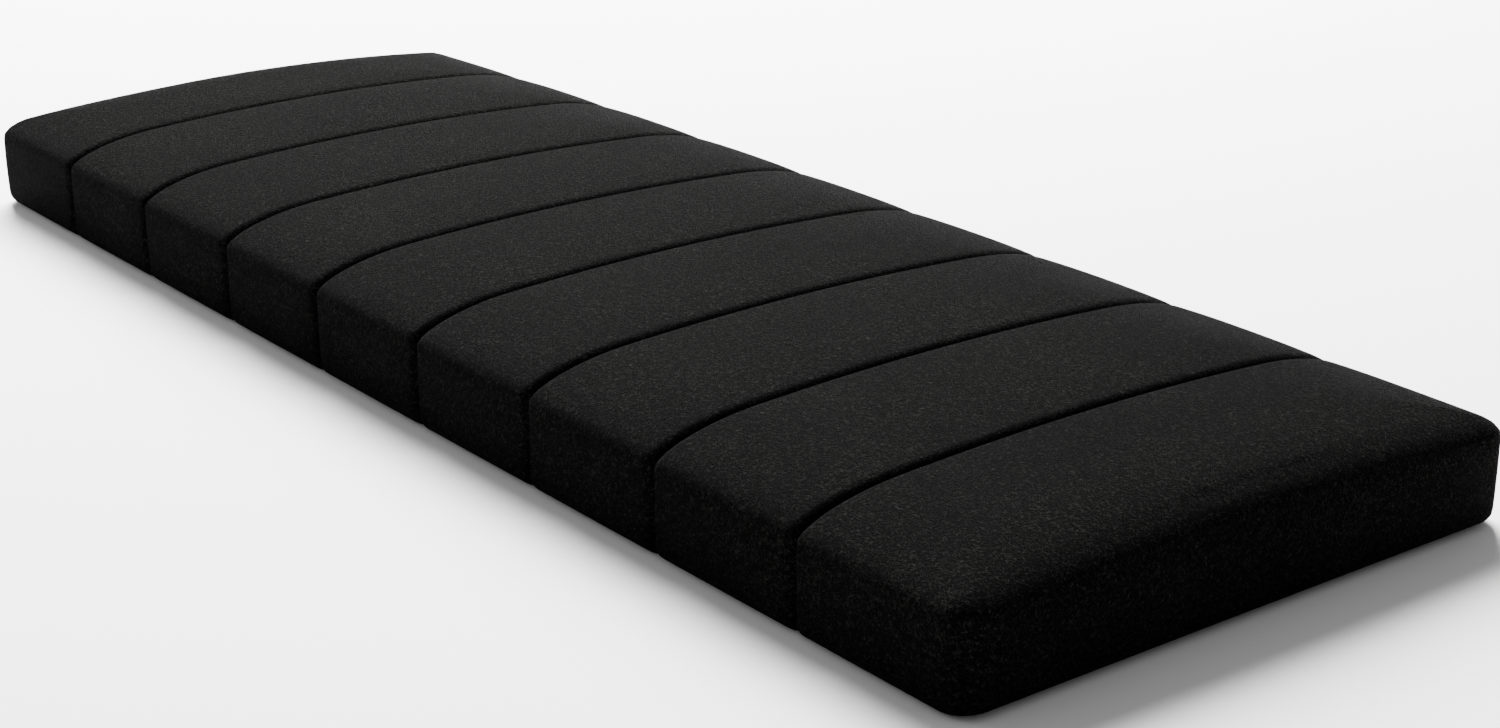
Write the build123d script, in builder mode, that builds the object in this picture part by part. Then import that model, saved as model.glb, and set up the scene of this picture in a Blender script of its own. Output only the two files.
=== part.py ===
"""Channel-quilted futon mattress: a zipped plush cover around a layered foam core.

The mattress lies flat. X runs along its length, across the nine quilted channels.
Y runs across its width, with the zip on the back long side (+Y). The origin is the
centre of the underside, and Z points up. All sizes are in millimetres.
"""
import os
from math import asin, cos, degrees

from build123d import *

# Overall size
length = 1900
width = 700
height = 140

# Cross-section of the stuffed mattress
top_corner_radius = 45
base_corner_radius = 20
plan_corner_radius = 28
crown_radius = 3000

# Quilting: nine channels between eight sewn seams
channel_count = 9
seam_pitch = 208
seam_gap = 1.0
puff_radius = 8
seam_allowance = 14
thread_width = 0.6
thread_depth = 12.6
thread_height = 0.8

# Fabric and filling thicknesses
plush = 2.0
layer_gap = 0.3
wadding_depth = 13.5
scrim_depth = 14.3
scrim = 0.7
liner_depth = 15.3
liner = 0.7
base_fabric = 1.2
base_hem = 2
base_wadding = 10
comfort_foam = 25
label_length = 60
label_width = 35
label_thick = 0.4
label_inset = 40

# Zip along the foot of the back long side
zip_length = 1680
zip_height = 25
zip_cut_height = 40
tape_setback = 7.1
tape_thick = 0.6
tape_gap = 1.6
lower_tape_foot = 9
coil_gap = 1.4
coil_rise = 2.3
coil_thick = 2.2
coil_corner = 0.6
stop_length = 3
zip_top_margin = 3.5
zip_bottom_margin = 30
turn_up_height = 19
turn_radius = 8

# Zip slider and its pull
slider_length = 12
slider_width = 8.4
plate_thick = 1.0
plate_corner = 2.0
flange_thick = 0.7
neck_length = 3
neck_thick = 0.8
neck_inset = 1.0
bridge_length = 6.4
bridge_width = 2.4
bridge_rise = 2.5
bridge_corner = 1.2
pin_rise = 1.3
pin_radius = 0.45
pin_clearance = 0.2
pull_length = 30
pull_width = 7
pull_thick = 0.9
pull_window = 3.75
pull_arm = 1.0
pull_shoulder = 1.0
pull_hole_radius = 1.6
slider_end_gap = 1.5

# Derived sizes
crown_slope = asin((width / 2 - top_corner_radius) / (crown_radius - top_corner_radius))
crown_centre = height - crown_radius
corner_centre = crown_centre + (crown_radius - top_corner_radius) * cos(crown_slope)
seam_places = [(seam - (channel_count - 2) / 2) * seam_pitch for seam in range(channel_count - 1)]
channel_edges = [-length / 2] + seam_places + [length / 2]
opening_length = length - 2 * (base_corner_radius + base_hem)
opening_width = width - 2 * (base_corner_radius + base_hem)
back = width / 2
tape_back = back - tape_setback
tape_face = tape_back + tape_thick
coil_back = tape_face + layer_gap
coil_face = coil_back + coil_thick
plate_back = coil_face + layer_gap
plate_face = plate_back + plate_thick
pin_place = plate_face + pin_rise
top_stop_end = zip_length / 2 - zip_top_margin
bottom_stop_end = zip_bottom_margin - zip_length / 2
slider_place = top_stop_end - stop_length - slider_end_gap - slider_length / 2
far_below = -5

os.makedirs("parts", exist_ok=True)


def save(part, name):
    """Label one finished piece and write it as its own file."""
    part.label = name
    export_step(part, f"parts/{name}.step")


def outline(wall, floor):
    """The cross-section, set in by wall at the top and sides and by floor below."""
    side = width / 2 - wall
    top = top_corner_radius - wall
    foot = base_corner_radius - wall
    slope = degrees(crown_slope)
    with BuildSketch() as profile:
        with BuildLine():
            Line((foot - side, floor), (side - foot, floor))
            CenterArc((side - foot, floor + foot), foot, -90, 90)
            Line((side, floor + foot), (side, corner_centre))
            CenterArc((side - top, corner_centre), top, 0, 90 - slope)
            CenterArc((0, crown_centre), crown_radius - wall, 90 - slope, 2 * slope)
            CenterArc((top - side, corner_centre), top, 90 + slope, 90 - slope)
            Line((-side, corner_centre), (-side, floor + foot))
            CenterArc((foot - side, floor + foot), foot, 180, 90)
        make_face()
    return profile.sketch


def end_form(wall, floor):
    """The rounded plan and the rounded end profile that close the mattress lengthwise."""
    with BuildPart() as form:
        with BuildSketch(Plane.XY.offset(floor)):
            RectangleRounded(length - 2 * wall, width - 2 * wall, plan_corner_radius - wall)
        extrude(amount=height)
        with BuildSketch(Plane.XZ) as end_profile:
            with Locations((0, (height - wall + floor) / 2)):
                Rectangle(length - 2 * wall, height - wall - floor)
            fillet(end_profile.vertices().group_by(Axis.Y)[-1], top_corner_radius - wall)
            fillet(end_profile.vertices().group_by(Axis.Y)[0], base_corner_radius - wall)
        extrude(amount=width, both=True, mode=Mode.INTERSECT)
    return form.part


def mattress_block(wall, floor):
    """The whole mattress as one block, set in by wall and floor."""
    ends = end_form(wall, floor)
    with BuildPart() as block:
        with BuildSketch(Plane.YZ.offset(-length / 2)):
            add(outline(wall, floor))
        extrude(amount=length)
        add(ends, mode=Mode.INTERSECT)
    return block.part


def channel_block(channel, wall, floor):
    """One channel of the first half, as a block set in by wall, its seam edges rolled over."""
    first = channel == 0
    start = channel_edges[channel] + wall + (0 if first else seam_gap / 2)
    end = channel_edges[channel + 1] - wall - seam_gap / 2
    ends = end_form(wall, floor)
    with BuildPart() as block:
        with BuildSketch(Plane.YZ.offset(start)):
            add(outline(wall, floor))
        extrude(amount=end - start)
        if first:
            add(ends, mode=Mode.INTERSECT)
        flat_ends = block.faces().filter_by(Axis.X).sort_by(Axis.X)
        seam_faces = flat_ends[-1:] if first else flat_ends
        fillet(seam_faces.edges(), puff_radius - wall)
    return block.part


# Space that the cover strips leave open, above the base panel and behind the zip
with BuildPart() as openings:
    with BuildSketch(Plane.XY.offset(far_below)):
        Rectangle(opening_length, opening_width)
    extrude(amount=seam_allowance - far_below)
    with BuildSketch(Plane.XY.offset(far_below)):
        with Locations((0, (opening_width / 2 + back) / 2)):
            Rectangle(zip_length, back - opening_width / 2)
    extrude(amount=zip_cut_height - far_below)


def channel_layer(channel, wall, core):
    """The cloth or wadding of one channel: a block outside, hollow down to its core."""
    outside = channel_block(channel, wall, wall)
    with BuildPart() as layer:
        add(outside)
        for hollow in core:
            add(hollow, mode=Mode.SUBTRACT)
        add(openings.part, mode=Mode.SUBTRACT)
    return layer.part


def save_channels(name, layers):
    """Write the first half and the middle, then mirror the first half to the far end."""
    for channel in range(channel_count):
        twin = channel_count - 1 - channel
        with BuildPart() as piece:
            add(layers[min(channel, twin)])
            if channel > twin:
                mirror(about=Plane.YZ, mode=Mode.REPLACE)
        save(piece.part, f"{name}_{channel + 1}")


half = range((channel_count + 1) // 2)

# Plush cover strips, one over each channel, with their seam allowances turned in
seam_core = mattress_block(seam_allowance, plush)
strips = [channel_layer(channel, 0, [channel_block(channel, plush, plush), seam_core]) for channel in half]
save_channels("cover_strip", strips)

# Wadding inside each channel, wrapping the top and both long sides
wadding_core = mattress_block(wadding_depth, plush)
fillings = [channel_layer(channel, plush + layer_gap, [wadding_core]) for channel in half]
save_channels("channel_wadding", fillings)

# Quilting thread, one run in each seam
thread_outside = mattress_block(thread_depth, plush - thread_height)
thread_inside = mattress_block(thread_depth + thread_height, plush)
with BuildPart() as quilting_thread:
    for seam in seam_places:
        with BuildSketch(Plane.YZ.offset(seam - thread_width / 2)):
            Rectangle(2 * width, 2 * height)
        extrude(amount=thread_width)
    add(thread_outside, mode=Mode.INTERSECT)
    add(thread_inside, mode=Mode.SUBTRACT)
    add(openings.part, mode=Mode.SUBTRACT)
save(quilting_thread.part, "quilting_thread")

# Scrim that the wadding is quilted on to
scrim_outside = mattress_block(scrim_depth, plush)
scrim_inside = mattress_block(scrim_depth + scrim, far_below)
with BuildPart() as quilting_scrim:
    add(scrim_outside)
    add(scrim_inside, mode=Mode.SUBTRACT)
    add(openings.part, mode=Mode.SUBTRACT)
save(quilting_scrim.part, "quilting_scrim")

# Stockinette liner that the cover slides over
liner_floor = base_fabric + 2 * layer_gap + label_thick
liner_outside = mattress_block(liner_depth, liner_floor)
liner_inside = mattress_block(liner_depth + liner, liner_floor + liner)
with BuildPart() as inner_liner:
    add(liner_outside)
    add(liner_inside, mode=Mode.SUBTRACT)
save(inner_liner.part, "inner_liner")

# Core layers, from the floor of the liner to its crowned top
core_wall = liner_depth + liner + layer_gap
core_floor = liner_floor + liner + layer_gap
core_block = mattress_block(core_wall, core_floor)
wadding_top = core_floor + base_wadding
foam_top = height - core_wall - comfort_foam
core_layers = {
    "base_wadding": (core_floor, wadding_top),
    "support_foam": (wadding_top + layer_gap, foam_top),
    "comfort_foam": (foam_top + layer_gap, height),
}
for layer_name, (bottom, top) in core_layers.items():
    with BuildPart() as layer:
        with BuildSketch(Plane.XY.offset(bottom)):
            Rectangle(length, width)
        extrude(amount=top - bottom)
        add(core_block, mode=Mode.INTERSECT)
    save(layer.part, layer_name)

# Base panel, flat under the mattress and turned up behind to meet the zip
turn_face = coil_back + base_fabric
turn_back = turn_face - base_fabric
hem_start = opening_width / 2 - base_hem
with BuildPart() as base_panel:
    with BuildSketch(Plane.XY):
        Rectangle(opening_length - 2 * layer_gap, opening_width - 2 * layer_gap)
    extrude(amount=base_fabric)
    with BuildSketch(Plane.YZ.offset(layer_gap - zip_length / 2)):
        with BuildLine():
            bend_centre = (turn_face - turn_radius, turn_radius)
            outer_bend = CenterArc(bend_centre, turn_radius, -90, 90)
            inner_bend = CenterArc(bend_centre, turn_radius - base_fabric, -90, 90)
            Line(inner_bend @ 1, (turn_back, turn_up_height))
            Line((turn_back, turn_up_height), (turn_face, turn_up_height))
            Line((turn_face, turn_up_height), outer_bend @ 1)
            Line(outer_bend @ 0, (hem_start, 0))
            Line((hem_start, 0), (hem_start, base_fabric))
            Line((hem_start, base_fabric), inner_bend @ 0)
        make_face()
    extrude(amount=zip_length - 2 * layer_gap)
save(base_panel.part, "base_panel")

# Blank care label, sewn to the inside of the base panel near the closed end of the zip
with BuildPart() as care_label:
    with BuildSketch(Plane.XY.offset(base_fabric + layer_gap)):
        with Locations((slider_place, opening_width / 2 - label_inset)):
            Rectangle(label_width, label_length)
    extrude(amount=label_thick)
save(care_label.part, "care_label")

# Zip tapes, one above and one below the coil rows
lower_edge = zip_height - tape_gap / 2
upper_edge = zip_height + tape_gap / 2
tape_spans = {
    "zip_tape_lower": (lower_tape_foot, lower_edge),
    "zip_tape_upper": (upper_edge, zip_cut_height - layer_gap),
}
for tape_name, (foot, head) in tape_spans.items():
    with BuildPart() as tape:
        with BuildSketch(Plane.XZ.offset(-tape_face)):
            with Locations((0, (foot + head) / 2)):
                Rectangle(zip_length - 2 * layer_gap, head - foot)
        extrude(amount=tape_thick)
    save(tape.part, tape_name)

# Coil rows, one sewn to the meeting edge of each tape
coil_start = bottom_stop_end + stop_length + layer_gap
coil_length = top_stop_end - stop_length - layer_gap - coil_start
coil_offset = (coil_gap + coil_rise) / 2
for coil_name, side in {"zip_coil_lower": -1, "zip_coil_upper": 1}.items():
    with BuildPart() as coil:
        with BuildSketch(Plane.YZ.offset(coil_start)):
            with Locations((coil_back + coil_thick / 2, zip_height + side * coil_offset)):
                RectangleRounded(coil_thick, coil_rise, coil_corner)
        extrude(amount=coil_length)
    save(coil.part, coil_name)

# Top stops close the ends of the two rows; the bottom stop clamps both rows together
with BuildPart() as zip_top_stops:
    with BuildSketch(Plane.YZ.offset(top_stop_end - stop_length)):
        for side in (-1, 1):
            with Locations((coil_back + coil_thick / 2, zip_height + side * coil_offset)):
                RectangleRounded(coil_thick, coil_rise, coil_corner)
    extrude(amount=stop_length)
save(zip_top_stops.part, "zip_top_stops")

with BuildPart() as zip_bottom_stop:
    with BuildSketch(Plane.YZ.offset(bottom_stop_end)):
        with Locations((coil_back + coil_thick / 2, zip_height)):
            RectangleRounded(coil_thick, coil_gap + 2 * coil_rise, coil_corner)
    extrude(amount=stop_length)
save(zip_bottom_stop.part, "zip_bottom_stop")

# Slider: two plates joined by a neck between the tapes, side flanges, and a bridge
inner_plate_face = tape_back - layer_gap
flange_foot = tape_face + layer_gap
with BuildPart() as zip_slider:
    for plate_front in (plate_face, inner_plate_face):
        with BuildSketch(Plane.XZ.offset(-plate_front)):
            with Locations((slider_place, zip_height)):
                RectangleRounded(slider_length, slider_width, plate_corner)
        extrude(amount=plate_thick)
    with BuildSketch(Plane.XZ.offset(-plate_back)):
        for side in (-1, 1):
            with Locations((slider_place, zip_height + side * (slider_width - flange_thick) / 2)):
                Rectangle(slider_length - 2 * plate_corner, flange_thick)
    extrude(amount=plate_back - flange_foot)
    with BuildSketch(Plane.XZ.offset(-plate_back)):
        with Locations((slider_place + (slider_length - neck_length) / 2 - neck_inset, zip_height)):
            Rectangle(neck_length, neck_thick)
    extrude(amount=plate_back - inner_plate_face)
    with BuildSketch(Plane.XY.offset(zip_height - bridge_width / 2)) as bridge_profile:
        with Locations((slider_place, plate_face + bridge_rise / 2)):
            Rectangle(bridge_length, bridge_rise)
        fillet(bridge_profile.vertices().group_by(Axis.Y)[-1], bridge_corner)
        with Locations((slider_place, pin_place)):
            Circle(pin_radius + pin_clearance, mode=Mode.SUBTRACT)
    extrude(amount=bridge_width)
save(zip_slider.part, "zip_slider")

# Pull tab, lying flat over the closed zip, with its pin through the bridge
pull_end = slider_place + pull_thick / 2
pull_middle = pull_end - pull_length / 2
window_width = pull_width - 2 * (pull_arm + pull_shoulder)
with BuildPart() as pull_tab:
    with BuildSketch(Plane.XZ.offset(-(pin_place + pull_thick / 2))):
        with Locations((pull_middle, zip_height)):
            RectangleRounded(pull_length, pull_width, pull_width / 3)
        with Locations((slider_place - pull_window / 2, zip_height)):
            Rectangle(pull_window + pull_thick, window_width, mode=Mode.SUBTRACT)
        with Locations((pull_end - pull_length + pull_width / 2, zip_height)):
            Circle(pull_hole_radius, mode=Mode.SUBTRACT)
    extrude(amount=pull_thick)
    with BuildSketch(Plane.XY.offset(zip_height - pull_width / 4)):
        with Locations((slider_place, pin_place)):
            Circle(pin_radius)
    extrude(amount=pull_width / 2)
save(pull_tab.part, "pull_tab")
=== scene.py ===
"""Looks of the channel-quilted futon mattress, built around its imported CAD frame.

Metres, in the CAD's frame: X along the length, +Y the long side with the zip, Z up.
"""
import math

import bmesh
import bpy
import numpy as np
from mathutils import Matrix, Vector


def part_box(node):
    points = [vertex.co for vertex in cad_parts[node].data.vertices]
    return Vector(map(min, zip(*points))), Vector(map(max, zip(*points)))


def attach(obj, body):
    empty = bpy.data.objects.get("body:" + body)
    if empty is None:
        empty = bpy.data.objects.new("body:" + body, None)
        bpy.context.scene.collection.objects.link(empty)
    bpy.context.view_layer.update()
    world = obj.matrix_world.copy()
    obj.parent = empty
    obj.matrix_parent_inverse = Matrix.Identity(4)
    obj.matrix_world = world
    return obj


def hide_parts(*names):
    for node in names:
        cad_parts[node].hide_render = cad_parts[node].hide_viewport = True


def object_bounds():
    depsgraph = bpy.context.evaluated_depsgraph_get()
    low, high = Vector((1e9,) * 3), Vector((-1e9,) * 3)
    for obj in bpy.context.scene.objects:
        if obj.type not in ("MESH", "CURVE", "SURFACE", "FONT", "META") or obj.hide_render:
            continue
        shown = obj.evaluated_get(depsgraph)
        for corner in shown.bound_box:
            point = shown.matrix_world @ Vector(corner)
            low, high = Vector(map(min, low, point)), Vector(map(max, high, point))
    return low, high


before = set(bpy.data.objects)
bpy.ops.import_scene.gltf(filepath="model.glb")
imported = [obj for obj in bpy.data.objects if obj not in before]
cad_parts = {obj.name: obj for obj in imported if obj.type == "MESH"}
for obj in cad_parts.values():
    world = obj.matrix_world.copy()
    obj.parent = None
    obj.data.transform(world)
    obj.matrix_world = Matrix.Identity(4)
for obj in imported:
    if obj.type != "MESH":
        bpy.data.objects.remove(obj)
cad_low, cad_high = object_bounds()

# Overall size, from the CAD frame
half_length = cad_high.x
half_width = cad_high.y
height = cad_high.z

# Shape of the stuffed mattress. Each rounding reaches in from the ends, in from the sides, and up or down.
crown = 0.018
end_drop = 0.007
corner_droop = 0.006
corner_pull = 0.012
side_bulge = 0.003
top_round = (0.094, 0.115, 0.028)
base_round = (0.028, 0.014, 0.016)
plan_round = 0.034
box_side = half_width - side_bulge
box_top = height - crown

# Quilting: the seams, the lips of plush sewn down in them, and the roundness of the channels between
channel_count = 9
seam_x = [(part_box(f"cover_strip_{n}")[1].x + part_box(f"cover_strip_{n + 1}")[0].x) / 2
          for n in range(1, channel_count)]
channel_edges = [-half_length] + seam_x + [half_length]
seam_gap = 0.0005
seam_roll = 0.0115
lip_depth = 0.0135
puff = 0.0012
puff_fade = 0.05
foot_share = 0.35
foot_reach = 0.035
plush = 0.002
wadding_start = 0.0024
wadding_thick = 0.009
wadding_foot = 0.007

# Cloth simulation that swells the strips
swell_frames = 20
swell_cap = 0.0032
least_filling = 0.4
end_filling = 0.15
filling_waves = [(17, 9, 0), (-11, 31, 1.7), (43, 23, 0.6), (37, 61, 4.1)]
weight_steps = 20
held_floor = 0.012
held_hem = 0.004
held_back = 0.05
held_past_zip = 0.01
held_fade = 0.012
lowest_rise = 0.0003
cloth_settings = {
    "quality": 5,
    "mass": 0.3,
    "tension_stiffness": 20,
    "compression_stiffness": 20,
    "shear_stiffness": 8,
    "bending_stiffness": 1.5,
    "vertex_group_mass": "sewn",
    "use_pressure": True,
    "uniform_pressure_force": 4,
    "vertex_group_pressure": "filling",
}

# Layers inside: how far each lies under the outside, and how thick the cloth ones are
scrim_wall, scrim_floor, scrim_thick = 0.0122, 0.0020, 0.0005
scrim_foot = scrim_floor + 0.003
liner_wall, liner_floor, liner_thick = 0.0132, 0.0023, 0.0006
core_wall, core_floor = 0.0142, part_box("base_wadding")[0].z
base_fabric = 0.0012
turn_radius = 0.008
fold_radius = 0.0010
fold_returns = (0.004, 0.009)
label_thick, label_wave = 0.00015, 0.00008

# Thread and zip
stitch_depth = 0.0108
stitch_length = 0.0050
stitch_steps = 6
stitch_reach = 0.0012
thread_radius = 0.00028
hem_stitch = 0.0035
hem_stitch_steps = 8
hem_stitch_level = 0.0145
hem_stitch_sunk, hem_stitch_dip = 0.0012, 0.0013
row_end = 0.004
coil_pitch = 0.0016
coil_steps = 10
coil_wire = 0.00034
coil_overlap = 0.0004

# Zip opening along the foot of the back side
zip_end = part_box("zip_tape_upper")[1].x
zip_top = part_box("cover_strip_5")[0].z + 0.040
hem_level = zip_top + 0.003
hem_radius = 0.0032
hem_return = 0.008
facing_radius = 0.0025
facing_depth = 0.0045

# Base panel, and the plush edge that is tucked in beside it
panel_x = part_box("base_panel")[1].x
panel_y = -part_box("base_panel")[0].y
panel_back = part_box("base_panel")[1].y
panel_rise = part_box("base_panel")[1].z
tuck_width = 0.005
tuck_rise = 0.0022
tuck_level = 0.004

# Spacing of the meshes: along, across and up the strips, finer near the rounded edges, and over the core
strip_step, strip_end_step, strip_end_reach = 0.007, 0.005, 0.09
across_step, edge_step = 0.009, 0.0045
edge_reach = edge_step * 22
rise_step = 0.006
core_step, core_edge_step, core_edge_reach = 0.03, 0.008, 0.104

# Room for rounding where two stations should be the same
nearly = 1e-6


# ---------------------------------------------------------------- mattress shape

def rounded_block(points, half_y):
    """Map points on a plain box's surface to the rounded block inside it."""
    x, y, z = points[..., 0], points[..., 1], points[..., 2]
    upper = z >= box_top / 2
    reach_x, reach_y, rise = (np.where(upper, top_round[k], base_round[k]) for k in range(3))
    from_end = (half_length - np.abs(x)) / reach_x
    from_side = (half_y - np.abs(y)) / reach_y
    inset = np.maximum(np.minimum(from_end, from_side), 0)
    up = np.clip(np.where(upper, (z - box_top + rise) / rise, (rise - z) / rise), 0, 1)
    out = np.clip(1 - inset, 0, 1)
    size = np.maximum(np.sqrt(up ** 2 + out ** 2), nearly)
    bend = (up > 0) & (out > 0)
    inset = np.where(bend, 1 - out / size, inset)
    turn = np.where(bend, up / size, up)
    z = np.where(up > 0, np.where(upper, box_top - rise + rise * turn, rise - rise * turn), z)
    side_x = half_length - reach_x * inset
    side_y = half_y - reach_y * inset
    near_end = from_end <= from_side
    x = np.where(near_end, np.sign(x) * side_x, np.clip(x, -side_x, side_x))
    y = np.where(near_end, np.clip(y, -side_y, side_y), np.sign(y) * side_y)
    corner = np.maximum(plan_round - (reach_x + reach_y) / 2 * np.clip(inset, 0, 1), 0.001)
    flat_x = np.clip(x, corner - side_x, side_x - corner)
    flat_y = np.clip(y, corner - side_y, side_y - corner)
    over = np.hypot(x - flat_x, y - flat_y)
    scale = np.where(over > 1e-5, corner / np.maximum(over, 1e-5), 1)
    return np.stack([flat_x + (x - flat_x) * scale, flat_y + (y - flat_y) * scale, z], -1)


def settle(points):
    """The stuffed mattress: the rounded block with its crown, soft sides and lower ends."""
    placed = rounded_block(points, box_side)
    along = np.abs(placed[..., 0]) / half_length
    across = np.abs(placed[..., 1]) / half_width
    level = np.clip(placed[..., 2] / height, 0, 1)
    placed[..., 2] += level * (crown * (1 - across ** 2) - end_drop * along ** 3)
    towards_far = np.clip(-placed[..., 0] / half_length, 0, 1)
    towards_back = np.clip(placed[..., 1] / half_width, 0, 1)
    far_back = towards_far ** 2 * towards_back ** 2
    placed[..., 2] -= level * corner_droop * far_back
    placed[..., 1] -= level ** 2 * corner_pull * far_back
    placed[..., 1] += np.sign(placed[..., 1]) * side_bulge * 4 * level * (1 - level) * across ** 8
    return placed


def spread(start, end, step, fine_step=None, fine_reach=0.0):
    """Stations from start to end, closer together within fine_reach of either end."""
    if not fine_reach or end - start < 2.5 * fine_reach:
        return np.linspace(start, end, max(2, int(round((end - start) / step)) + 1))
    near = np.linspace(start, start + fine_reach, int(round(fine_reach / fine_step)) + 1)
    middle_length = end - start - 2 * fine_reach
    middle = np.linspace(start + fine_reach, end - fine_reach, int(round(middle_length / step)) + 1)
    return np.concatenate([near, middle[1:-1], end + start - near[::-1]])


def seam_profile(gap, roll, depth):
    """Stations away from a seam and their depth: up the turned-in lip and over the roll."""
    turns = np.linspace(0, math.pi / 2, 8)
    away = np.concatenate([[gap, gap], gap + roll * (1 - np.cos(turns))])
    deep = np.concatenate([[depth, (depth + roll) / 2], roll * (1 - np.sin(turns))])
    return away, deep


def channel_stations(channel, gap, roll, depth):
    """Lengthwise stations of one channel: place, seam depth, and dip between the puffed middles."""
    start, end = channel_edges[channel], channel_edges[channel + 1]
    away, deep = seam_profile(gap, roll, depth)
    left_seam, right_seam = channel > 0, channel < channel_count - 1
    first = start + away[-1] if left_seam else start
    last = end - away[-1] if right_seam else end
    if left_seam and right_seam:
        body = spread(first, last, strip_step)
    else:
        body = spread(first, last, strip_step, strip_end_step, strip_end_reach)
    reach = (body - first) / (last - first) * 2 - 1
    if not left_seam:
        reach = np.maximum(reach, 0)
    if not right_seam:
        reach = np.minimum(reach, 0)
    places, depths, dips = [body], [0 * body], [puff * np.abs(reach) ** 3]
    if left_seam:
        places.insert(0, start + away[:-1])
        depths.insert(0, deep[:-1])
        dips.insert(0, puff + 0 * deep[:-1])
    if right_seam:
        places.append(end - away[:-1][::-1])
        depths.append(deep[:-1][::-1])
        dips.append(puff + 0 * deep[:-1])
    return np.concatenate(places), np.concatenate(depths), np.concatenate(dips)


# ---------------------------------------------------------------- mesh helpers

def grid_faces(rows, columns, start=0):
    """Quads of a rows by columns grid of vertices numbered from start."""
    corner = start + np.arange(rows - 1)[:, None] * columns + np.arange(columns - 1)
    return np.stack([corner, corner + 1, corner + columns + 1, corner + columns], -1).reshape(-1, 4)


def make_piece(name, patches, weld=1e-5, centre=None):
    """One mesh from grids of points, welded where their edges meet, facing away from centre."""
    points, faces, count = [], [], 0
    for patch in patches:
        faces.append(grid_faces(patch.shape[0], patch.shape[1], count))
        points.append(patch.reshape(-1, 3))
        count += patch.shape[0] * patch.shape[1]
    mesh = bpy.data.meshes.new(name)
    mesh.from_pydata(np.concatenate(points).tolist(), [], np.concatenate(faces).tolist())
    work = bmesh.new()
    work.from_mesh(mesh)
    bmesh.ops.remove_doubles(work, verts=work.verts, dist=weld)
    bmesh.ops.recalc_face_normals(work, faces=work.faces)
    if centre is not None:
        facing = sum(f.normal.dot(f.calc_center_median() - centre) * f.calc_area() for f in work.faces)
        if facing < 0:
            bmesh.ops.reverse_faces(work, faces=work.faces)
    work.to_mesh(mesh)
    work.free()
    mesh.shade_smooth()
    piece = bpy.data.objects.new(name, mesh)
    bpy.context.scene.collection.objects.link(piece)
    return piece


def apply_modifiers(piece):
    """Replace a piece's mesh by its mesh with every modifier applied."""
    graph = bpy.context.evaluated_depsgraph_get()
    mesh = bpy.data.meshes.new_from_object(piece.evaluated_get(graph))
    mesh.name = piece.name
    piece.modifiers.clear()
    piece.data = mesh
    piece.data.shade_smooth()


def thicken(piece, thickness):
    """Give a sheet its thickness, inwards from the outer face."""
    modifier = piece.modifiers.new("thickness", "SOLIDIFY")
    modifier.thickness = thickness
    modifier.offset = -1
    apply_modifiers(piece)


def slice_piece(piece, low=None, high=None, close=True):
    """Cut a piece level at low and high, and close the cuts if close is set."""
    work = bmesh.new()
    work.from_mesh(piece.data)
    for level, up in ((low, -1), (high, 1)):
        if level is None:
            continue
        cut = bmesh.ops.bisect_plane(work, geom=work.verts[:] + work.edges[:] + work.faces[:], dist=1e-7,
                                     plane_co=(0, 0, level), plane_no=(0, 0, up), clear_outer=True)
        if close:
            rim = [part for part in cut["geom_cut"] if isinstance(part, bmesh.types.BMEdge)]
            bmesh.ops.holes_fill(work, edges=rim)
    bmesh.ops.recalc_face_normals(work, faces=work.faces)
    work.to_mesh(piece.data)
    work.free()
    piece.data.update()


# ---------------------------------------------------------------- cover strips

def section_normals(grid):
    """Outward directions in the cross-section plane, for a grid of stations by section points."""
    along = np.gradient(grid, axis=1)
    normal = np.stack([np.zeros(grid.shape[:2]), -along[..., 2], along[..., 1]], -1)
    return normal / np.maximum(np.linalg.norm(normal, axis=-1, keepdims=True), 1e-9)


def snap(stations, value):
    """Move the nearest station to an exact place."""
    stations = stations.copy()
    stations[np.argmin(np.abs(stations - value))] = value
    return stations


def box_points(x, y, z):
    """Grid of box points: every x with every (y, z) pair."""
    x, y, z = np.broadcast_arrays(x[:, None], np.asarray(y)[None, :], np.asarray(z)[None, :])
    return np.stack([x, y, z], -1).astype(float)


def hem_rows(edge):
    """Rows that roll the cloth in along the zip, after the last row of a wrap."""
    turns = np.radians([25, 50, 75, 100, 125, 150, 180])
    rows = []
    for turn in turns:
        row = edge.copy()
        row[:, 1] += hem_radius * (math.cos(turn) - 1)
        row[:, 2] -= hem_radius * math.sin(turn)
        rows.append(row)
    last = rows[-1].copy()
    last[:, 2] += hem_return
    rows.append(last)
    return np.stack(rows, 1)


def facing_rows(edge, normals, ahead):
    """Rows that turn the cloth in at the end of the zip opening, after an edge that faces along X."""
    rows = [edge]
    for turn in np.radians([15, 30, 45, 60, 75, 90]):
        row = edge - normals * facing_radius * (1 - math.cos(turn))
        row[:, 0] += ahead * facing_radius * math.sin(turn)
        rows.append(row)
    rows += [rows[-1] - normals * depth for depth in np.linspace(0, facing_depth, 4)[1:]]
    return np.stack(rows, 1)


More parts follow.
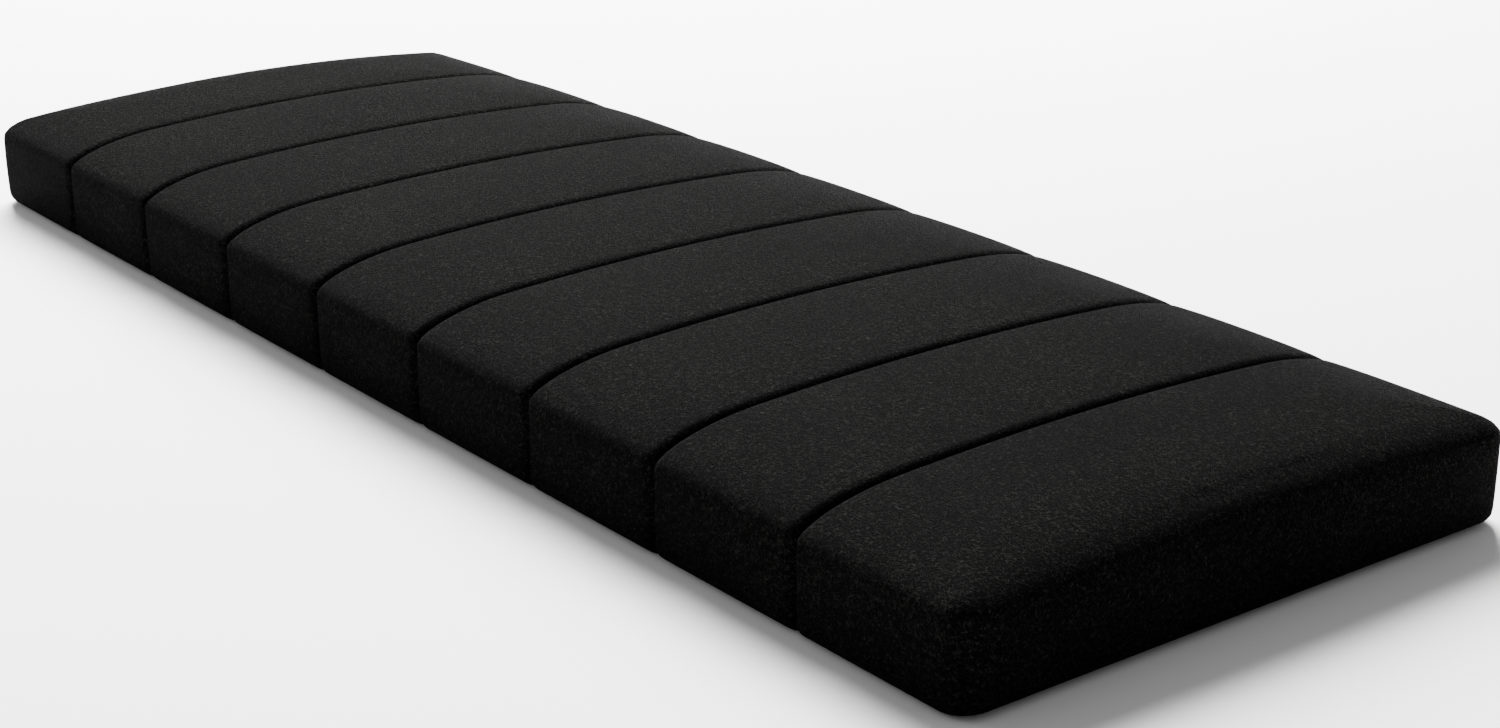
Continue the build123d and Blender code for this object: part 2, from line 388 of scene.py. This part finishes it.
def channel_patches(channel, inset=0.0):
    """Grids of points over one channel, set in by inset, wrapping front, top and back."""
    x, depth, dip = channel_stations(channel, seam_gap + inset, seam_roll - inset, lip_depth)
    first, last = channel == 0, channel == channel_count - 1
    sign = -1 if first else 1
    opening = zip_end + (2 * inset if inset else facing_radius)
    if first or last:
        x = snap(snap(x, sign * opening), sign * panel_x)
    y = spread(-box_side, box_side, across_step, edge_step, edge_reach)
    y = snap(snap(y, -panel_y), panel_y)
    z = snap(spread(0, box_top, rise_step), hem_level)
    back_z = z[z >= hem_level - nearly][::-1]
    lip = y[y <= -panel_y + nearly]
    path = ([(v, 0) for v in lip[::-1]] + [(-box_side, v) for v in z[1:-1]] + [(v, box_top) for v in y]
            + [(box_side, v) for v in back_z[1:]])
    path_y, path_z = np.array(path).T
    wrap = within(settle(box_points(x, path_y, path_z)), inset, inset)
    fade = np.clip(wrap[..., 2] / puff_fade, 0, 1)
    foot_fade = np.clip(foot_share + wrap[..., 2] / foot_reach, 0, 1)
    sink = depth[:, None] * foot_fade + dip[:, None] * fade
    wrap = wrap - section_normals(wrap) * sink[..., None]
    patches = [wrap]
    open_zip = np.abs(x) <= opening + nearly
    if inset == 0:
        edge = wrap[open_zip, -1]
        patches.append(np.concatenate([edge[:, None], hem_rows(edge)], 1))
    if first or last:
        low_z = z[z <= hem_level + nearly][::-1]
        closed = np.abs(x) >= opening - nearly
        low = [(box_side, v) for v in low_z] + [(v, 0) for v in -lip[1:]]
        low_y, low_z = np.array(low).T
        low_wrap = within(settle(box_points(x[closed], low_y, low_z)), inset, inset)
        patches.append(low_wrap)
        if inset == 0:
            zip_row = 0 if last else -1
            patches.append(facing_rows(low_wrap[zip_row], section_normals(low_wrap)[zip_row], -sign))
        end_y, end_z = np.meshgrid(y, z, indexing="ij")
        end = settle(np.stack([np.full(end_y.shape, sign * half_length), end_y, end_z], -1))
        patches.append(within(end, inset, inset))
        rim_x = x[np.abs(x) >= panel_x - nearly]
        rim_y = y[np.abs(y) <= panel_y + nearly]
        patches.append(within(settle(box_points(rim_x, rim_y, 0 * rim_y)), inset, inset))
    return [tuck(patch) for patch in patches]


def within(points, wall, floor):
    """Shrink points on the mattress's outside to wall from its top and sides, and floor from its base."""
    shrink = np.array([1 - wall / half_length, 1 - wall / half_width, 1 - (wall + floor) / height])
    return points * shrink + np.array([0, 0, floor])


def tuck(points):
    """Turn the plush edge under the mattress up into its seam with the base panel."""
    beside = np.maximum(np.abs(points[..., 0]) - panel_x, np.abs(points[..., 1]) - panel_y)
    rise = tuck_rise * np.clip(1 - beside / tuck_width, 0, 1) ** 2
    under = (points[..., 2] < tuck_level) & (beside > -nearly)
    points = points.copy()
    points[..., 2] += np.where(under, rise, 0)
    return points


def channel_centre(channel):
    """The middle of one channel."""
    return Vector(((channel_edges[channel] + channel_edges[channel + 1]) / 2, 0, height / 2))


def cover_strip(channel):
    """The plush over one channel."""
    return make_piece(f"plush_strip_{channel + 1}", channel_patches(channel), centre=channel_centre(channel))


def unevenness(points):
    """A smooth value from 0 to 1 that varies over the mattress as hand filling does."""
    x, y = points[:, 0], points[:, 1]
    total = sum(np.sin(along * x + across * y + phase) for along, across, phase in filling_waves)
    return 0.5 + total / (2 * len(filling_waves))


def vertex_array(piece):
    """A piece's vertices as an array."""
    points = np.empty(len(piece.data.vertices) * 3)
    piece.data.vertices.foreach_get("co", points)
    return points.reshape(-1, 3)


def held_weight(points, channel):
    """How firmly each point is sewn down: 1 in the seams, the hem and under the mattress, 0 outside them."""
    start, end = channel_edges[channel], channel_edges[channel + 1]
    left = points[:, 0] - start if channel > 0 else np.full(len(points), 1.0)
    right = end - points[:, 0] if channel < channel_count - 1 else np.full(len(points), 1.0)
    from_seam = np.minimum(left, right) - seam_gap - seam_roll * 0.5
    from_floor = points[:, 2] - held_floor
    at_back = points[:, 1] > half_width - held_back
    beside_zip = at_back & (np.abs(points[:, 0]) < zip_end + held_past_zip)
    from_hem = np.where(beside_zip, points[:, 2] - hem_level - held_hem, 1.0)
    away = np.minimum(np.minimum(from_seam, from_floor), from_hem)
    return 1 - np.clip(away / held_fade, 0, 1)


def add_weights(piece, name, weights):
    """A vertex group with these weights, rounded to a few steps."""
    group = piece.vertex_groups.new(name=name)
    steps = np.round(weights * weight_steps).astype(int)
    for step in range(1, weight_steps + 1):
        group.add(np.nonzero(steps == step)[0].tolist(), step / weight_steps, "REPLACE")


def fill_strips(pieces):
    """Swell the strips between their seams by cloth simulation, cap the swelling and keep the result."""
    for channel, piece in enumerate(pieces):
        points = vertex_array(piece)
        add_weights(piece, "sewn", held_weight(points, channel))
        filling = least_filling + (1 - least_filling) * unevenness(points)
        at_end = channel in (0, channel_count - 1)
        add_weights(piece, "filling", filling * (end_filling if at_end else 1))
        cloth = piece.modifiers.new("filling", "CLOTH")
        for name, value in cloth_settings.items():
            setattr(cloth.settings, name, value)
        cloth.settings.effector_weights.gravity = 0
        cloth.point_cache.frame_start = 1
        cloth.point_cache.frame_end = swell_frames
    for step in range(1, swell_frames + 1):
        bpy.context.scene.frame_set(step)
    graph = bpy.context.evaluated_depsgraph_get()
    for piece in pieces:
        swollen = bpy.data.meshes.new_from_object(piece.evaluated_get(graph))
        after = np.empty(len(swollen.vertices) * 3)
        swollen.vertices.foreach_get("co", after)
        before = vertex_array(piece)
        normals = np.empty(len(swollen.vertices) * 3)
        piece.data.vertices.foreach_get("normal", normals)
        normals = normals.reshape(-1, 3)
        outward = ((after.reshape(-1, 3) - before) * normals).sum(1, keepdims=True)
        kept = before + normals * swell_cap * np.tanh(np.maximum(outward, 0) / swell_cap)
        kept[:, 2] = np.maximum(kept[:, 2], np.minimum(before[:, 2], lowest_rise))
        piece.modifiers.clear()
        piece.vertex_groups.clear()
        piece.data.vertices.foreach_set("co", kept.ravel())
        piece.data.update()
        bpy.data.meshes.remove(swollen)
    bpy.context.scene.frame_set(1)


def wadding_pad(channel):
    """The fibre pad inside one channel, under the plush."""
    patches = channel_patches(channel, wadding_start)
    return make_piece(f"wadding_pad_{channel + 1}", patches, centre=channel_centre(channel))


strips = [cover_strip(channel) for channel in range(channel_count)]
fill_strips(strips)
for channel, strip in enumerate(strips):
    thicken(strip, plush)
    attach(strip, "mattress")
    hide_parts(f"cover_strip_{channel + 1}")
pads = [wadding_pad(channel) for channel in range(channel_count)]
for channel, pad in enumerate(pads):
    thicken(pad, wadding_thick)
    slice_piece(pad, low=wadding_foot)
    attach(pad, "mattress")
    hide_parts(f"channel_wadding_{channel + 1}")


# ---------------------------------------------------------------- inside layers

def core_patches(wall, floor):
    """The six sides of the mattress, set in, as grids of points."""
    x = spread(-half_length, half_length, core_step, core_edge_step, core_edge_reach)
    y = spread(-box_side, box_side, core_step, core_edge_step, core_edge_reach)
    z = spread(0, box_top, core_edge_step)

    def face(first, second, place):
        first, second = np.meshgrid(first, second, indexing="ij")
        return within(settle(np.stack(place(first, second), -1)), wall, floor)

    return [
        face(x, y, lambda u, v: (u, v, 0 * u)),
        face(x, y, lambda u, v: (u, v, 0 * u + box_top)),
        face(x, z, lambda u, v: (u, 0 * u - box_side, v)),
        face(x, z, lambda u, v: (u, 0 * u + box_side, v)),
        face(y, z, lambda u, v: (0 * u - half_length, u, v)),
        face(y, z, lambda u, v: (0 * u + half_length, u, v)),
    ]


def core_piece(name, wall, floor, low=None, high=None, close=True):
    """One layer of the core, with the mattress's own crown and rounding."""
    piece = make_piece(name, core_patches(wall, floor), centre=Vector((0, 0, height / 2)))
    slice_piece(piece, low, high, close)
    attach(piece, "mattress")
    return piece


# Each core layer's CAD node, with the piece that stands for it and its slot
core_names = {
    "base_wadding": ("base_fibre_pad", "wadding"),
    "support_foam": ("support_foam_block", "support_foam"),
    "comfort_foam": ("comfort_foam_layer", "comfort_foam"),
}
core_layers = {}
for node, (name, slot_name) in core_names.items():
    low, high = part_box(node)
    top_level = None if node == "comfort_foam" else high.z
    base_level = None if node == "base_wadding" else low.z
    layer = core_piece(name, core_wall, core_floor, base_level, top_level)
    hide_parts(node)
    core_layers[node] = layer

scrim = core_piece("quilting_scrim_net", scrim_wall, scrim_floor, low=scrim_foot, close=False)
thicken(scrim, scrim_thick)
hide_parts("quilting_scrim")

liner = core_piece("inner_liner_sock", liner_wall, liner_floor)
thicken(liner, liner_thick)
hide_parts("inner_liner")


# ---------------------------------------------------------------- base panel

def panel_patches():
    """The base fabric: flat under the mattress, tucked up at its seams and turned up to the zip."""
    edge = np.linspace(0, tuck_width, 6)
    between = np.linspace(-panel_y + tuck_width, panel_y - tuck_width, 60)
    front = np.concatenate([-panel_y + edge, between[1:]])
    flat_y = np.concatenate([front, panel_y - edge[::-1][1:]])
    beyond_zip = zip_end + np.linspace(0, panel_x - zip_end - tuck_width, 8)
    outer_x = np.concatenate([beyond_zip, panel_x - edge[::-1][1:]])
    middle_x = np.linspace(-zip_end, zip_end, 120)
    turns = np.linspace(0, math.pi / 2, 8)
    turned_y = panel_back - turn_radius * (1 - np.sin(turns))
    turned_z = turn_radius * (1 - np.cos(turns))
    fold = np.linspace(0, math.pi, 7)[1:]
    fold_y = panel_back - fold_radius * (1 - np.cos(fold))
    fold_z = panel_rise - fold_radius + fold_radius * np.sin(fold)
    straight = panel_rise - fold_radius
    section_y = np.concatenate([front, turned_y, [panel_back] * 3, fold_y, [fold_y[-1]] * len(fold_returns)])
    section_z = np.concatenate([0 * front, turned_z, np.linspace(turn_radius, straight, 4)[1:], fold_z,
                                [straight - fold_return for fold_return in fold_returns]])
    middle = box_points(middle_x, section_y, section_z)
    ends = [box_points(sign * outer_x, flat_y, 0 * flat_y) for sign in (-1, 1)]
    patches = []
    for patch in (middle, *ends):
        across = -patch[..., 1] if patch is middle else np.abs(patch[..., 1])
        beside = np.minimum(panel_y - across, panel_x - np.abs(patch[..., 0]))
        patch[..., 2] += tuck_rise * np.clip(1 - beside / tuck_width, 0, 1) ** 2
        patches.append(patch)
    return patches


base_panel = make_piece("base_fabric_panel", panel_patches(), centre=Vector((0, 0, height / 2)))
thicken(base_panel, base_fabric)
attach(base_panel, "mattress")
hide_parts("base_panel")


def care_label():
    """The blank satin label inside the base, with a slight wave."""
    low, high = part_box("care_label")
    x = np.linspace(low.x, high.x, 15)
    y = np.linspace(low.y, high.y, 25)
    wave_x, wave_y = np.meshgrid(x, y, indexing="ij")
    middle = (low.z + high.z) / 2 + label_thick
    z = middle + label_wave * np.sin(90 * wave_x) * np.sin(110 * wave_y)
    piece = make_piece("care_label_blank", [np.stack([wave_x, wave_y, z], -1)])
    thicken(piece, label_thick)
    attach(piece, "mattress")
    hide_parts("care_label")
    return piece


label = care_label()


# ---------------------------------------------------------------- thread and zip

def tube(path, radius, sides, across):
    """Grid of points around a path: rings that stand across its direction."""
    ahead = np.gradient(path, axis=0)
    ahead /= np.linalg.norm(ahead, axis=1, keepdims=True)
    first = np.cross(ahead, np.array(across, float))
    first /= np.maximum(np.linalg.norm(first, axis=1, keepdims=True), 1e-9)
    second = np.cross(ahead, first)
    turn = np.linspace(0, 2 * math.pi, sides + 1)[:, None]
    ring = first[:, None] * np.cos(turn) + second[:, None] * np.sin(turn)
    return path[:, None] + radius * ring


def tube_piece(name, paths, radius, sides=6, across=(1, 0, 0)):
    """Closed tubes along several paths, as one mesh."""
    piece = make_piece(name, [tube(path, radius, sides, across) for path in paths], weld=1e-6)
    work = bmesh.new()
    work.from_mesh(piece.data)
    bmesh.ops.holes_fill(work, edges=[edge for edge in work.edges if edge.is_boundary])
    bmesh.ops.recalc_face_normals(work, faces=work.faces)
    work.to_mesh(piece.data)
    work.free()
    piece.data.shade_smooth()
    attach(piece, "mattress")
    return piece


def seam_path(seam):
    """Lockstitches through the two lips of one seam, from the base over the top to the zip's hem."""
    z = np.linspace(held_floor, box_top, 200)
    y = np.linspace(-box_side, box_side, 1000)
    back_z = np.linspace(box_top, hem_level + row_end, 120)
    section_y = np.concatenate([np.full(z.size, -box_side), y[1:], np.full(back_z.size - 1, box_side)])
    section_z = np.concatenate([z, np.full(y.size - 1, box_top), back_z[1:]])
    section = settle(box_points(np.array([seam]), section_y, section_z))
    sunk = (section - section_normals(section) * stitch_depth)[0]
    steps = np.linalg.norm(np.diff(sunk, axis=0), axis=1)
    travelled = np.concatenate([[0], np.cumsum(steps)])
    places = np.arange(0, travelled[-1], stitch_length / stitch_steps)
    path = np.stack([np.interp(places, travelled, sunk[:, axis]) for axis in range(3)], -1)
    swing = 1.6 * np.sin(2 * math.pi * places / stitch_length)
    path[:, 0] = seam + stitch_reach * np.clip(swing, -1, 1)
    return path


def coil_path(node, phase):
    """One row of a coil zip: a flattened helix whose heads reach between the other row's."""
    low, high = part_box(node)
    middle_y = (low.y + high.y) / 2
    middle_z = (low.z + high.z) / 2
    mesh_line = (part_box("zip_coil_lower")[1].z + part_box("zip_coil_upper")[0].z) / 2
    reach = abs(mesh_line - middle_z) + coil_overlap
    outer = (high.z - low.z) / 2
    side = 1 if mesh_line > middle_z else -1
    turns = int((high.x - low.x) / coil_pitch) - 1
    angle = np.arange(turns * coil_steps) * 2 * math.pi / coil_steps
    rise = np.where(np.sin(angle) > 0, reach, outer) - coil_wire
    x = low.x + coil_wire + (angle / (2 * math.pi) + phase) * coil_pitch
    y = middle_y + ((high.y - low.y) / 2 - coil_wire) * np.cos(angle)
    return np.stack([x, y, middle_z + side * rise * np.sin(angle)], -1)


stitches = tube_piece("seam_lockstitch", [seam_path(seam) for seam in seam_x], thread_radius)
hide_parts("quilting_thread")
coils = []
for row, phase in (("lower", 0), ("upper", 0.5)):
    coil = tube_piece(f"coil_row_{row}", [coil_path(f"zip_coil_{row}", phase)], coil_wire)
    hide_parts(f"zip_coil_{row}")
    coils.append(coil)


def hem_stitch_path():
    """The row of stitches along the turned-up base: each stitch dips in at its ends."""
    places = np.arange(-zip_end + row_end, zip_end - row_end, hem_stitch / hem_stitch_steps)
    out = np.clip(np.abs(np.sin(math.pi * places / hem_stitch)) * 3, 0, 1)
    row_y = panel_back - hem_stitch_sunk + hem_stitch_dip * out
    return np.stack([places, row_y, 0 * places + hem_stitch_level], -1)


hem_stitches = tube_piece("tape_hem_stitches", [hem_stitch_path()], thread_radius, across=(0, 0, 1))


# ---------------------------------------------------------------- materials

def new_material(name, roughness, specular=0.5, metallic=0.0):
    """An empty node material: its nodes, links and shader."""
    material = bpy.data.materials.new(name)
    material.use_nodes = True
    shader = material.node_tree.nodes["Principled BSDF"]
    shader.inputs["Roughness"].default_value = roughness
    shader.inputs["Specular IOR Level"].default_value = specular
    shader.inputs["Metallic"].default_value = metallic
    return material, material.node_tree.nodes, material.node_tree.links, shader


def object_place(nodes, links, stretch=(1, 1, 1), turn=(0, 0, 0)):
    """Object coordinates in metres, stretched and turned."""
    place = nodes.new("ShaderNodeTexCoord")
    mapping = nodes.new("ShaderNodeMapping")
    mapping.inputs["Scale"].default_value = stretch
    mapping.inputs["Rotation"].default_value = turn
    links.new(place.outputs["Object"], mapping.inputs["Vector"])
    return mapping.outputs["Vector"]


def noise(nodes, links, scale, detail=3.0, roughness=0.55, stretch=(1, 1, 1), distortion=0.0):
    """A noise texture, in cells per metre."""
    texture = nodes.new("ShaderNodeTexNoise")
    texture.inputs["Scale"].default_value = scale
    texture.inputs["Detail"].default_value = detail
    texture.inputs["Roughness"].default_value = roughness
    texture.inputs["Distortion"].default_value = distortion
    links.new(object_place(nodes, links, stretch), texture.inputs["Vector"])
    return texture.outputs["Fac"]


def waves(nodes, links, scale, direction, distortion, turn=(0, 0, 0)):
    """Parallel ridges, in ridges per metre."""
    texture = nodes.new("ShaderNodeTexWave")
    texture.bands_direction = direction
    texture.inputs["Scale"].default_value = scale * math.pi / 10
    texture.inputs["Distortion"].default_value = distortion
    links.new(object_place(nodes, links, turn=turn), texture.inputs["Vector"])
    return texture.outputs["Fac"]


def cells(nodes, links, scale, randomness=1.0):
    """Distance to the nearest cell centre, in cells per metre."""
    texture = nodes.new("ShaderNodeTexVoronoi")
    texture.inputs["Scale"].default_value = scale
    texture.inputs["Randomness"].default_value = randomness
    links.new(object_place(nodes, links), texture.inputs["Vector"])
    return texture.outputs["Distance"]


def ramp(nodes, links, source, low, high, start=0.35, end=0.65):
    """Colours from low to high over a source's middle range."""
    node = nodes.new("ShaderNodeValToRGB")
    node.color_ramp.elements[0].position = start
    node.color_ramp.elements[0].color = (*low, 1)
    node.color_ramp.elements[1].position = end
    node.color_ramp.elements[1].color = (*high, 1)
    links.new(source, node.inputs["Fac"])
    return node.outputs["Color"]


def combine(nodes, links, first, second, weight=1.0, operation="ADD"):
    """first combined with weight times second."""
    scaled = nodes.new("ShaderNodeMath")
    scaled.operation = "MULTIPLY"
    scaled.inputs[1].default_value = weight
    links.new(second, scaled.inputs[0])
    total = nodes.new("ShaderNodeMath")
    total.operation = operation
    links.new(first, total.inputs[0])
    links.new(scaled.outputs[0], total.inputs[1])
    return total.outputs[0]


def bump(nodes, links, shader, source, strength, distance):
    """Raise the surface by a source."""
    node = nodes.new("ShaderNodeBump")
    node.inputs["Strength"].default_value = strength
    node.inputs["Distance"].default_value = distance
    links.new(source, node.inputs["Height"])
    links.new(node.outputs["Normal"], shader.inputs["Normal"])


def plush_material():
    """Near-black short-pile plush: curled tufts with painted shade in the crevices between them and painted
    light on their tops, brushed patches and a faint sheen.
    """
    material, nodes, links, shader = new_material("plush_black", 0.95, 0.012)
    tufts = noise(nodes, links, 310, detail=3, roughness=0.6, distortion=1.2)
    fibres = noise(nodes, links, 700, detail=2, roughness=0.6, distortion=1.0)
    patches = noise(nodes, links, 7, detail=2)
    tone = combine(nodes, links, tufts, fibres, 0.35)
    tone = combine(nodes, links, tone, patches, 0.08)
    # Painted shade and light: the ramp darkens the low places of the tuft noise, which also drives the bump,
    # and lightens its high places. The plush's own colour is near-black.
    painted_crevice_shade, painted_tuft_light = (0.0004, 0.0004, 0.0004), (0.0152, 0.0152, 0.0140)
    colour = ramp(nodes, links, tone, painted_crevice_shade, painted_tuft_light, 0.72, 0.92)
    links.new(colour, shader.inputs["Base Color"])
    shader.inputs["Sheen Weight"].default_value = 0.005
    shader.inputs["Sheen Roughness"].default_value = 0.4
    shader.inputs["Sheen Tint"].default_value = (0.8, 0.8, 0.76, 1)
    relief = combine(nodes, links, tufts, fibres, 0.3)
    bump(nodes, links, shader, relief, 1.0, 0.0080)
    return material


def fibre_material(name, low, high):
    """Carded polyester fibre: soft, matt, with fibres lying every way."""
    material, nodes, links, shader = new_material(name, 1.0, 0.2)
    along = noise(nodes, links, 160, 6, 0.7, stretch=(1, 5, 3), distortion=1.5)
    across = noise(nodes, links, 160, 6, 0.7, stretch=(5, 1, 3), distortion=1.5)
    strands = combine(nodes, links, along, across)
    links.new(ramp(nodes, links, strands, low, high, 0.8, 1.2), shader.inputs["Base Color"])
    shader.inputs["Sheen Weight"].default_value = 0.3
    bump(nodes, links, shader, strands, 0.8, 0.002)
    return material


def foam_material(name, low, high, pore_scale):
    """Open-cell foam: fine pores and slightly uneven colour."""
    material, nodes, links, shader = new_material(name, 0.9, 0.25)
    pores = cells(nodes, links, pore_scale)
    tone = combine(nodes, links, noise(nodes, links, 14, 3), pores, 0.6)
    links.new(ramp(nodes, links, tone, low, high, 0.45, 0.95), shader.inputs["Base Color"])
    bump(nodes, links, shader, pores, 0.7, 0.0008)
    return material


def cloth_material(name, low, high, pitch, roughness=0.85, relief=0.0003, turn=0.0, specular=0.3):
    """Woven or knitted cloth: two sets of ridges at this pitch in metres, with uneven yarns."""
    material, nodes, links, shader = new_material(name, roughness, specular)
    warp = waves(nodes, links, 1 / pitch, "X", 0.6, (0, 0, turn))
    weft = waves(nodes, links, 1 / pitch, "Y", 0.6, (0, 0, turn))
    upright = waves(nodes, links, 1 / pitch, "Z", 0.6, (0, 0, turn))
    weave = combine(nodes, links, combine(nodes, links, warp, weft), upright)
    yarns = noise(nodes, links, 0.35 / pitch, 4, 0.6)
    tone = combine(nodes, links, yarns, weave, 0.18)
    links.new(ramp(nodes, links, tone, low, high, 0.55, 1.0), shader.inputs["Base Color"])
    bump(nodes, links, shader, weave, 0.6, relief)
    return material


def spunbond_material():
    """Dark spunbond base fabric: fibres pressed together in a grid of small dimples."""
    material, nodes, links, shader = new_material("spunbond_black", 0.85, 0.15)
    dimples = cells(nodes, links, 420, randomness=0.0)
    fibres = noise(nodes, links, 700, 5, 0.7, distortion=1.0)
    tone = combine(nodes, links, fibres, dimples, 0.5)
    colour = ramp(nodes, links, tone, (0.0012, 0.0012, 0.0013), (0.0085, 0.0085, 0.0090), 0.45, 0.95)
    links.new(colour, shader.inputs["Base Color"])
    bump(nodes, links, shader, tone, 0.7, 0.0006)
    return material


def thread_material():
    """Black two-ply polyester thread: twisted plies with a slight gloss."""
    material, nodes, links, shader = new_material("thread_black", 0.45, 0.5)
    twist = waves(nodes, links, 1400, "DIAGONAL", 0.4)
    colour = ramp(nodes, links, twist, (0.0015, 0.0015, 0.0015), (0.010, 0.010, 0.010))
    links.new(colour, shader.inputs["Base Color"])
    bump(nodes, links, shader, twist, 0.6, 0.0001)
    return material


def tape_material():
    """Black woven zip tape: a herringbone of fine slanted ridges."""
    material, nodes, links, shader = new_material("zip_tape_black", 0.8, 0.15)
    left = waves(nodes, links, 1300, "X", 0.3, (0, math.radians(40), 0))
    right = waves(nodes, links, 1300, "X", 0.3, (0, math.radians(-40), 0))
    weave = combine(nodes, links, left, right, operation="MULTIPLY")
    links.new(ramp(nodes, links, weave, (0.0010, 0.0010, 0.0012), (0.0085, 0.0085, 0.0092), 0.1, 0.9),
              shader.inputs["Base Color"])
    bump(nodes, links, shader, weave, 0.8, 0.0002)
    return material


def coil_material():
    """Black nylon monofilament, smooth with faint wear."""
    material, nodes, links, shader = new_material("coil_nylon_black", 0.35, 0.5)
    wear = noise(nodes, links, 260, 4)
    colour = ramp(nodes, links, wear, (0.002, 0.002, 0.002), (0.008, 0.008, 0.008))
    links.new(colour, shader.inputs["Base Color"])
    bump(nodes, links, shader, wear, 0.15, 0.0001)
    return material


def metal_material():
    """Dark plated zinc: brushed, with brighter rubbed places."""
    material, nodes, links, shader = new_material("zinc_gunmetal", 0.35, 0.5, 1.0)
    brushed = noise(nodes, links, 500, 3, 0.6, stretch=(0.15, 1, 1))
    rubbed = noise(nodes, links, 90, 3)
    tone = combine(nodes, links, rubbed, brushed, 0.5)
    links.new(ramp(nodes, links, tone, (0.04, 0.04, 0.043), (0.15, 0.15, 0.16), 0.55, 0.95),
              shader.inputs["Base Color"])
    links.new(ramp(nodes, links, brushed, (0.26,) * 3, (0.44,) * 3), shader.inputs["Roughness"])
    bump(nodes, links, shader, brushed, 0.2, 0.00005)
    return material


def paint(piece, material):
    """Give a piece or a CAD node this material all over."""
    piece.data.materials.clear()
    piece.data.materials.append(material)


plush_look = plush_material()
fibre_look = fibre_material("polyester_fibre_white", (0.62, 0.61, 0.58), (0.86, 0.85, 0.82))
base_fibre_look = fibre_material("polyester_fibre_grey", (0.40, 0.40, 0.39), (0.62, 0.61, 0.59))
thread_look = thread_material()
tape_look = tape_material()
coil_look = coil_material()
metal_look = metal_material()
for strip in strips:
    paint(strip, plush_look)
for pad in pads:
    paint(pad, fibre_look)
paint(core_layers["base_wadding"], base_fibre_look)
paint(core_layers["support_foam"], foam_material("foam_grey", (0.30, 0.31, 0.32), (0.48, 0.49, 0.50), 900))
paint(core_layers["comfort_foam"], foam_material("foam_cream", (0.62, 0.56, 0.40), (0.82, 0.77, 0.60), 1200))
paint(scrim, cloth_material("scrim_grey", (0.30, 0.30, 0.30), (0.52, 0.52, 0.51), 0.0016))
paint(liner, cloth_material("liner_knit_white", (0.60, 0.60, 0.58), (0.84, 0.83, 0.80), 0.0011))
paint(base_panel, spunbond_material())
paint(label, cloth_material("label_satin_white", (0.62, 0.62, 0.61), (0.85, 0.85, 0.84), 0.0005, 0.4, 0.0001))
for piece in (stitches, hem_stitches):
    paint(piece, thread_look)
for piece in coils:
    paint(piece, coil_look)
for node in ("zip_tape_lower", "zip_tape_upper"):
    paint(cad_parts[node], tape_look)
for node in ("zip_top_stops", "zip_bottom_stop", "zip_slider", "pull_tab"):
    paint(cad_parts[node], metal_look)


# ---------------------------------------------------------------- floor, light and camera

def pale_floor():
    """A plain pale floor that the mattress lies on."""
    reach, below, grey = 30, 0.0005, 0.93
    mesh = bpy.data.meshes.new("floor")
    mesh.from_pydata([(-reach, -reach, 0), (reach, -reach, 0), (reach, reach, 0), (-reach, reach, 0)],
                     [], [(0, 1, 2, 3)])
    floor = bpy.data.objects.new("floor", mesh)
    floor.location.z = -below
    bpy.context.scene.collection.objects.link(floor)
    material, _, _, shader = new_material("floor_white", 0.8)
    shader.inputs["Base Color"].default_value = (grey, grey, grey, 1)
    mesh.materials.append(material)


def softbox(name, place, aim, size, power):
    """A square area light that looks at a point."""
    light = bpy.data.lights.new(name, "AREA")
    light.size = size
    light.energy = power
    lamp = bpy.data.objects.new(name, light)
    lamp.location = place
    lamp.rotation_mode = "QUATERNION"
    lamp.rotation_quaternion = (Vector(aim) - Vector(place)).to_track_quat("-Z", "Y")
    bpy.context.scene.collection.objects.link(lamp)


def camera(place, yaw, pitch, lens):
    """The camera: yaw from +Y towards -X, pitch below the horizon, in degrees."""
    data = bpy.data.cameras.new("camera")
    data.lens = lens
    data.sensor_width = 36
    data.clip_end = 200
    cam = bpy.data.objects.new("camera", data)
    cam.rotation_mode = "XYZ"
    cam.location = place
    cam.rotation_euler = (math.radians(90 - pitch), 0, math.radians(yaw))
    bpy.context.scene.collection.objects.link(cam)
    bpy.context.scene.camera = cam


def studio_world(strength):
    """Even white light from all round."""
    world = bpy.data.worlds.new("studio")
    world.use_nodes = True
    background = world.node_tree.nodes["Background"]
    background.inputs["Color"].default_value = (1, 1, 1, 1)
    background.inputs["Strength"].default_value = strength
    bpy.context.scene.world = world


pale_floor()
softbox("key", place=(-4.2, 2.6, 4.2), aim=(0.2, 0, 0), size=4.4, power=4200)
softbox("left_fill", place=(-4.0, -3.4, 2.0), aim=(0, 0, 0.05), size=2.5, power=50)
studio_world(0.38)
camera(place=(2.3962, -1.6826, 1.0341), yaw=52.29, pitch=20.086, lens=65.29)
